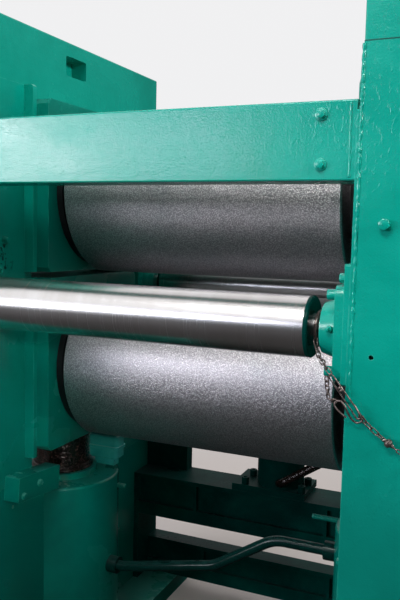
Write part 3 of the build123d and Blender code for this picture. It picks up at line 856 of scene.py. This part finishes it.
def bump(tree, shader, height, strength, distance):
    node = addNode(tree, "ShaderNodeBump", {"Height": height, "Strength": strength, "Distance": distance})
    tree.links.new(node.outputs[0], shader.inputs["Normal"])


# painted pieces

enamel = {
    "colour": (0.0, 0.34, 0.26),
    "deep": (0.0, 0.28, 0.212),
    # painted shade towards the floor: how much, where it starts and ends in height, and its colour
    "lowShade": 0.62,
    "shadeTop": 1.3,
    "shadeFoot": 0.7,
    "shadeColour": (0.0, 0.085, 0.066),
    # painted highlight along the sharp edges: how much, its colour, width and how it breaks up
    "edge": 0.38,
    "highlightColour": (0.09, 0.6, 0.48),
    "highlightWidth": 0.004,
    "highlightBreak": 26.0,
    "dust": 0.35,
    "dustScale": 8.0,
    "dustColour": (0.12, 0.3, 0.26),
    "specks": 0.3,
    "speckColour": (0.0, 0.16, 0.12),
    "joint": 1.873,
    "jointLine": 0.8,
    "chips": 62.0,
    "chipped": 0.85,
    "bareColour": (0.003, 0.02, 0.018),
    "toneRange": (0.3, 0.7),
    "glossRange": (0.25, 0.75, 0.16, 0.3),
    "dustRoughness": 0.35,
    "shine": 0.4,
    "relief": 0.155,
    "reliefHeight": 0.004,
    "peel": 250.0,
    "lumps": 48.0,
    "runs": 0.9,
    "seed": 0.0,
}
paints = {
    "standGreen": {},
    "cylinderGreen": {
        "colour": (0.0, 0.23, 0.175),
        "deep": (0.0, 0.16, 0.12),
        "lowShade": 0.2,
        "shine": 0.25,
        "dustColour": (0.02, 0.16, 0.13),
        "relief": 0.1,
        "runs": 0.0,
        "seed": 3.0,
    },
    # a near-black copy of the paint: painted shade for the low parts that lie in deep shade
    "shadedDarkGreen": {
        "colour": (0.0, 0.07, 0.055),
        "deep": (0.0, 0.028, 0.024),
        "lowShade": 0.0,
        "highlightColour": (0.01, 0.13, 0.1),
        "dust": 0.58,
        "dustColour": (0.02, 0.036, 0.035),
        "shine": 0.04,
        "relief": 0.12,
        "runs": 0.0,
        "seed": 7.0,
    },
    "pipeGreen": {
        "colour": (0.0, 0.024, 0.02),
        "deep": (0.0, 0.014, 0.012),
        "lowShade": 0.0,
        "highlightColour": (0.0, 0.09, 0.075),
        "shine": 0.2,
        "dustColour": (0.02, 0.06, 0.055),
        "relief": 0.08,
        "runs": 0.0,
    },
    # the chocks get a darker copy of the paint: painted shade under the tie beam
    "shadedChockGreen": {"colour": (0.0, 0.24, 0.18), "deep": (0.0, 0.19, 0.145)},
    # the fittings beside the rams get a paler copy of the paint and more bluish dust, as painted light on
    # them
    "litFittingGreen": {
        "colour": (0.04, 0.42, 0.38),
        "deep": (0.01, 0.26, 0.23),
        "lowShade": 0.0,
        "dust": 0.8,
        "dustColour": (0.12, 0.36, 0.4),
    },
}


def enamelFinish(name, look):
    material, tree, shader = newFinish(name)
    coat = useGroup(
        tree, brushedEnamel, Peel=look["peel"], Lumps=look["lumps"], Runs=look["runs"], Seed=look["seed"]
    )
    lowShade = useGroup(tree, lowGrime, Top=look["shadeTop"], Foot=look["shadeFoot"])["Grime"]
    edge = useGroup(tree, edgeHighlight, Width=look["highlightWidth"], Break=look["highlightBreak"])["Edge"]
    dust = useGroup(tree, shopDust, Amount=look["dust"], Scale=look["dustScale"])["Dust"]
    bare = useGroup(tree, bareMarks, Joint=look["joint"], Chips=look["chips"])
    colour = blendColour(tree, stretch(tree, coat["Cloud"], *look["toneRange"]), look["deep"], look["colour"])
    layers = (
        # painted shade, darker towards the floor
        (multiply(tree, lowShade, look["lowShade"]), look["shadeColour"]),
        # painted highlight along the sharp edges
        (multiply(tree, edge, look["edge"]), look["highlightColour"]),
        (dust, look["dustColour"]),
        (multiply(tree, coat["Speck"], look["specks"]), look["speckColour"]),
        (multiply(tree, bare["Line"], look["jointLine"]), look["bareColour"]),
        (multiply(tree, bare["Chipped"], look["chipped"]), look["bareColour"]),
    )
    for mask, layerColour in layers:
        colour = blendColour(tree, mask, colour, layerColour)
    gloss = stretch(tree, coat["Cloud"], *look["glossRange"])
    roughness = plus(tree, gloss, multiply(tree, dust, look["dustRoughness"]))
    feed(tree, shader, {"Base Color": colour, "Roughness": roughness, "Specular IOR Level": look["shine"]})
    bump(tree, shader, coat["Height"], look["relief"], look["reliefHeight"])
    return material


# bare steel, seals and rust

def grainedSteel():
    look = {
        "light": (0.8, 0.765, 0.79),
        "dark": (0.34, 0.324, 0.338),
        "cells": 380.0,
        "fold": 0.09,
        "oil": (0.2, 0.25, 0.26),
        "oilNoise": (2.4, 4.0, 0.6, 0.5),
        "oilRange": (0.45, 0.75, 0.0, 0.4),
        "metallic": 0.97,
        "roughRange": (0.0, 1.0, 0.43, 0.31),
        "relief": 0.75,
        "reliefHeight": 0.0007,
    }
    material, tree, shader = newFinish("grainedSteel")
    grain = useGroup(tree, leatherGrain, Cells=look["cells"], Fold=look["fold"])
    oil = stretch(tree, noise(tree, onObject(tree), *look["oilNoise"]), *look["oilRange"])
    colour = blendColour(tree, grain["Pebble"], look["dark"], look["light"])
    colour = blendColour(tree, oil, colour, look["oil"])
    roughness = stretch(tree, grain["Pebble"], *look["roughRange"])
    feed(tree, shader, {"Base Color": colour, "Metallic": look["metallic"], "Roughness": roughness})
    bump(tree, shader, grain["Height"], look["relief"], look["reliefHeight"])
    return material


def polishedSteel():
    look = {
        "dark": (0.63, 0.61, 0.6),
        "light": (0.7, 0.69, 0.69),
        "finePitch": 650.0,
        "broadPitch": 9.0,
        "toneRange": (0.35, 0.7),
        "roughRange": (0.3, 0.7, 0.2, 0.28),
        "relief": 0.02,
        "reliefHeight": 0.0003,
    }
    material, tree, shader = newFinish("polishedSteel")
    fine = useGroup(tree, turnedRings, Pitch=look["finePitch"])["Rings"]
    broad = useGroup(tree, turnedRings, Pitch=look["broadPitch"])["Rings"]
    colour = blendColour(tree, stretch(tree, broad, *look["toneRange"]), look["dark"], look["light"])
    roughness = stretch(tree, fine, *look["roughRange"])
    feed(tree, shader, {"Base Color": colour, "Metallic": 1.0, "Roughness": roughness})
    bump(tree, shader, fine, look["relief"], look["reliefHeight"])
    return material


def turnedSteel():
    look = {
        "light": (0.3, 0.29, 0.28),
        "dark": (0.16, 0.145, 0.13),
        "pitch": 520.0,
        "smearNoise": (12.0, 4.0),
        "smearRange": (0.35, 0.7),
        "metallic": 0.9,
        "roughRange": (0.3, 0.7, 0.28, 0.42),
        "relief": 0.15,
        "reliefHeight": 0.0004,
    }
    material, tree, shader = newFinish("turnedSteel")
    rings = useGroup(tree, turnedRings, Pitch=look["pitch"])["Rings"]
    smears = stretch(tree, noise(tree, onObject(tree), *look["smearNoise"]), *look["smearRange"])
    colour = blendColour(tree, smears, look["light"], look["dark"])
    roughness = stretch(tree, rings, *look["roughRange"])
    feed(tree, shader, {"Base Color": colour, "Metallic": look["metallic"], "Roughness": roughness})
    bump(tree, shader, rings, look["relief"], look["reliefHeight"])
    return material


def greasedRust():
    look = {
        "grease": (0.006, 0.0045, 0.004),
        "rust": (0.026, 0.011, 0.008),
        "patchNoise": (34.0, 5.0, 0.65, 0.4),
        "patchRange": (0.35, 0.65),
        "metallic": 0.3,
        "roughNoise": (120.0, 3.0),
        "roughRange": (0.35, 0.65, 0.1, 0.34),
        "ridgeScale": (9.0, 9.0, 150.0),
        "ridgeNoise": (1.0,),
        "crumbNoise": (170.0, 3.0),
        "crumbs": 0.22,
        "relief": 0.7,
        "reliefHeight": 0.004,
    }
    material, tree, shader = newFinish("greasedRust")
    place = onObject(tree)
    patches = stretch(tree, noise(tree, place, *look["patchNoise"]), *look["patchRange"])
    colour = blendColour(tree, patches, look["grease"], look["rust"])
    roughness = stretch(tree, noise(tree, place, *look["roughNoise"]), *look["roughRange"])
    feed(tree, shader, {"Base Color": colour, "Metallic": look["metallic"], "Roughness": roughness})
    ridges = noise(tree, scaled(tree, place, look["ridgeScale"]), *look["ridgeNoise"])
    crumbs = multiply(tree, noise(tree, place, *look["crumbNoise"]), look["crumbs"])
    bump(tree, shader, plus(tree, ridges, crumbs), look["relief"], look["reliefHeight"])
    return material


def blackSeal():
    look = {
        "dark": (0.002, 0.0025, 0.003),
        "light": (0.008, 0.01, 0.011),
        "smearNoise": (18.0, 4.0, 0.6),
        "roughRange": (0.3, 0.7, 0.3, 0.6),
        "shine": 0.2,
        "reliefNoise": (220.0,),
        "relief": 0.2,
        "reliefHeight": 0.001,
    }
    material, tree, shader = newFinish("blackSeal")
    place = onObject(tree)
    smears = noise(tree, place, *look["smearNoise"])
    colour = blendColour(tree, smears, look["dark"], look["light"])
    roughness = stretch(tree, smears, *look["roughRange"])
    feed(tree, shader, {"Base Color": colour, "Roughness": roughness, "Specular IOR Level": look["shine"]})
    bump(tree, shader, noise(tree, place, *look["reliefNoise"]), look["relief"], look["reliefHeight"])
    return material


def rustyWire():
    look = {
        "steel": (0.2, 0.165, 0.155),
        "rust": (0.032, 0.016, 0.013),
        "rustNoise": (240.0, 4.0, 0.65),
        "rustRange": (0.4, 0.62),
        "metalRange": (0.0, 1.0, 0.9, 0.4),
        "roughRange": (0.0, 1.0, 0.3, 0.7),
        "reliefNoise": (600.0, 3.0),
        "relief": 0.4,
        "reliefHeight": 0.0006,
    }
    material, tree, shader = newFinish("rustyWire")
    place = onObject(tree)
    rust = stretch(tree, noise(tree, place, *look["rustNoise"]), *look["rustRange"])
    colour = blendColour(tree, rust, look["steel"], look["rust"])
    metallic = stretch(tree, rust, *look["metalRange"])
    roughness = stretch(tree, rust, *look["roughRange"])
    feed(tree, shader, {"Base Color": colour, "Metallic": metallic, "Roughness": roughness})
    bump(tree, shader, noise(tree, place, *look["reliefNoise"]), look["relief"], look["reliefHeight"])
    return material


paint = {name: enamelFinish(name, {**enamel, **changes}) for name, changes in paints.items()}
finishes = {
    "stand_green": paint["standGreen"],
    "dark_green": paint["shadedDarkGreen"],
    "cylinder_green": paint["cylinderGreen"],
    "pipe_green": paint["pipeGreen"],
    "grained_steel": grainedSteel(),
    "turned_steel": turnedSteel(),
    "polished_chrome": polishedSteel(),
    "black_seal": blackSeal(),
    "greased_rust": greasedRust(),
    "rusty_chain": rustyWire(),
}
ownFinish = {"valve_blocks": paint["litFittingGreen"]}
for side in ("left", "right"):
    for row in ("upper", "lower"):
        ownFinish[f"{side}_{row}_chock"] = paint["shadedChockGreen"]
slotOf = {row["node"]: row["material_slot"] for row in frame["record"]["subparts"]}
for nodeName, cadNode in cadNodes.items():
    cadNode.data.materials.clear()
    cadNode.data.materials.append(ownFinish.get(nodeName, finishes[slotOf[nodeName]]))
print("finishes made,", len(finishes))

for smallPiece in (beamBolts, flangeScrews, padBolts, barBolts, standBolt, greaseNipples, weldSeams):
    dress(smallPiece, "root", "stand_green")
dress(baseScrews, "root", "dark_green")
dress(cylinderStuds, "root", "cylinder_green")
dress(wiperRings, "root", "greased_rust")
for chainPiece in (safetyChain, chainSwivel, chainHook):
    dress(chainPiece, "root", "rusty_chain")
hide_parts("safety_chain")


# floor, backdrop and light: pale floor and backdrop for the camera, and for the rest dim surroundings that
# brighten upward, with broad lamps at the front left for the paint and the polished rolls

studio = {
    "floorSize": 44,
    "floorSeen": (0.66, 0.6, 0.57),
    "floorLit": (0.036, 0.033, 0.032),
    "floorRoughness": 0.85,
    "floorShine": 0.2,
    "fadeRange": (1.8, 6.0),
    "backdrop": (0.92, 0.92, 0.93),
    "backdropSeen": 0.95,
    "aroundRange": (0.12, 0.65, 0.07, 0.72),
    "low": (0.3, 0.9, 0.85),
    "lowRange": (0.02, 0.16),
    "glow": 0.6,  # an overhead band that only reflections see
    "glowFromRange": (0.28, 0.48),
    "glowToRange": (1.0, 0.66, 0.3, 1.0),
    # name, place, aim, size, watts, spread in degrees, colour
    "lamps": [
        ("frontTop", (0.1, -2.6, 3.6), (0.4, -0.62, 1.64), (1.5, 0.6), 7.2, 58, (1.0, 0.99, 0.97)),
        ("lowFill", (1.9, -2.9, 1.9), (-0.5, -0.3, 0.9), (0.5, 0.5), 0.45, 15, (1.0, 0.99, 0.97)),
        ("rightTop", (3.4, -0.7, 2.88), (-0.5, -0.1, 1.95), (1.6, 0.5), 108, 180, (1.0, 0.99, 0.97)),
        ("leftBroad", (-3.9, -4.2, 2.2), (-0.3, -0.6, 1.7), (2.4, 0.7), 148, 180, (0.94, 0.94, 1.0)),
        ("middleBroad", (-1.9, -4.6, 2.2), (-0.1, -0.6, 1.7), (1.6, 0.7), 36, 180, (0.9, 0.93, 1.1)),
    ],
}
dropSelection()
bpy.ops.mesh.primitive_plane_add(size=studio["floorSize"])
floor = nameActive("floor")
floorFinish, floorTree, floorShader = newFinish("floor")
cameraSees = addNode(floorTree, "ShaderNodeLightPath").outputs["Is Camera Ray"]
floorColour = blendColour(floorTree, cameraSees, studio["floorLit"], studio["floorSeen"])
inputs = {0: onObject(floorTree)}
away = addNode(floorTree, "ShaderNodeVectorMath", inputs, operation="LENGTH").outputs["Value"]
fade = multiply(floorTree, stretch(floorTree, away, *studio["fadeRange"]), cameraSees)
floorColour = blendColour(floorTree, fade, floorColour, (0.0, 0.0, 0.0))
floorSockets = {
    "Base Color": floorColour,
    "Roughness": studio["floorRoughness"],
    "Specular IOR Level": studio["floorShine"],
    "Emission Color": (*studio["backdrop"], 1),
    "Emission Strength": multiply(floorTree, fade, studio["backdropSeen"]),
}
feed(floorTree, floorShader, floorSockets)
floor.data.materials.append(floorFinish)

world = bpy.data.worlds.new("studio")
scene.world = world
world.use_nodes = True
worldTree = world.node_tree
upward = axis(worldTree, addNode(worldTree, "ShaderNodeTexCoord").outputs["Generated"], 2)
around = stretch(worldTree, upward, *studio["aroundRange"])
lightPath = addNode(worldTree, "ShaderNodeLightPath").outputs
glow = stretch(worldTree, upward, *studio["glowFromRange"])
glow = multiply(worldTree, glow, stretch(worldTree, upward, *studio["glowToRange"]))
glow = multiply(worldTree, multiply(worldTree, glow, lightPath["Is Glossy Ray"]), studio["glow"])
inputs = {0: lightPath["Is Camera Ray"], 2: plus(worldTree, around, glow), 3: studio["backdropSeen"]}
strength = addNode(worldTree, "ShaderNodeMix", inputs, data_type="FLOAT").outputs[0]
highShare = plus(worldTree, stretch(worldTree, upward, *studio["lowRange"]), lightPath["Is Camera Ray"])
worldColour = blendColour(worldTree, highShare, studio["low"], studio["backdrop"])
feed(worldTree, worldTree.nodes["Background"], {"Color": worldColour, "Strength": strength})

for lampName, lampPlace, lampAim, lampSize, lampPower, lampSpread, lampColour in studio["lamps"]:
    lampData = bpy.data.lights.new(lampName, "AREA")
    lampData.shape = "RECTANGLE"
    lampData.size, lampData.size_y = lampSize
    lampData.energy = lampPower
    lampData.spread = math.radians(lampSpread)
    lampData.color = lampColour
    lamp = bpy.data.objects.new(lampName, lampData)
    scene.collection.objects.link(lamp)
    aim = (Vector(lampAim) - Vector(lampPlace)).to_track_quat("-Z", "Y").to_matrix().to_4x4()
    lamp.matrix_world = Matrix.Translation(lampPlace) @ aim
print("floor and lamps set")

bpy.context.view_layer.update()
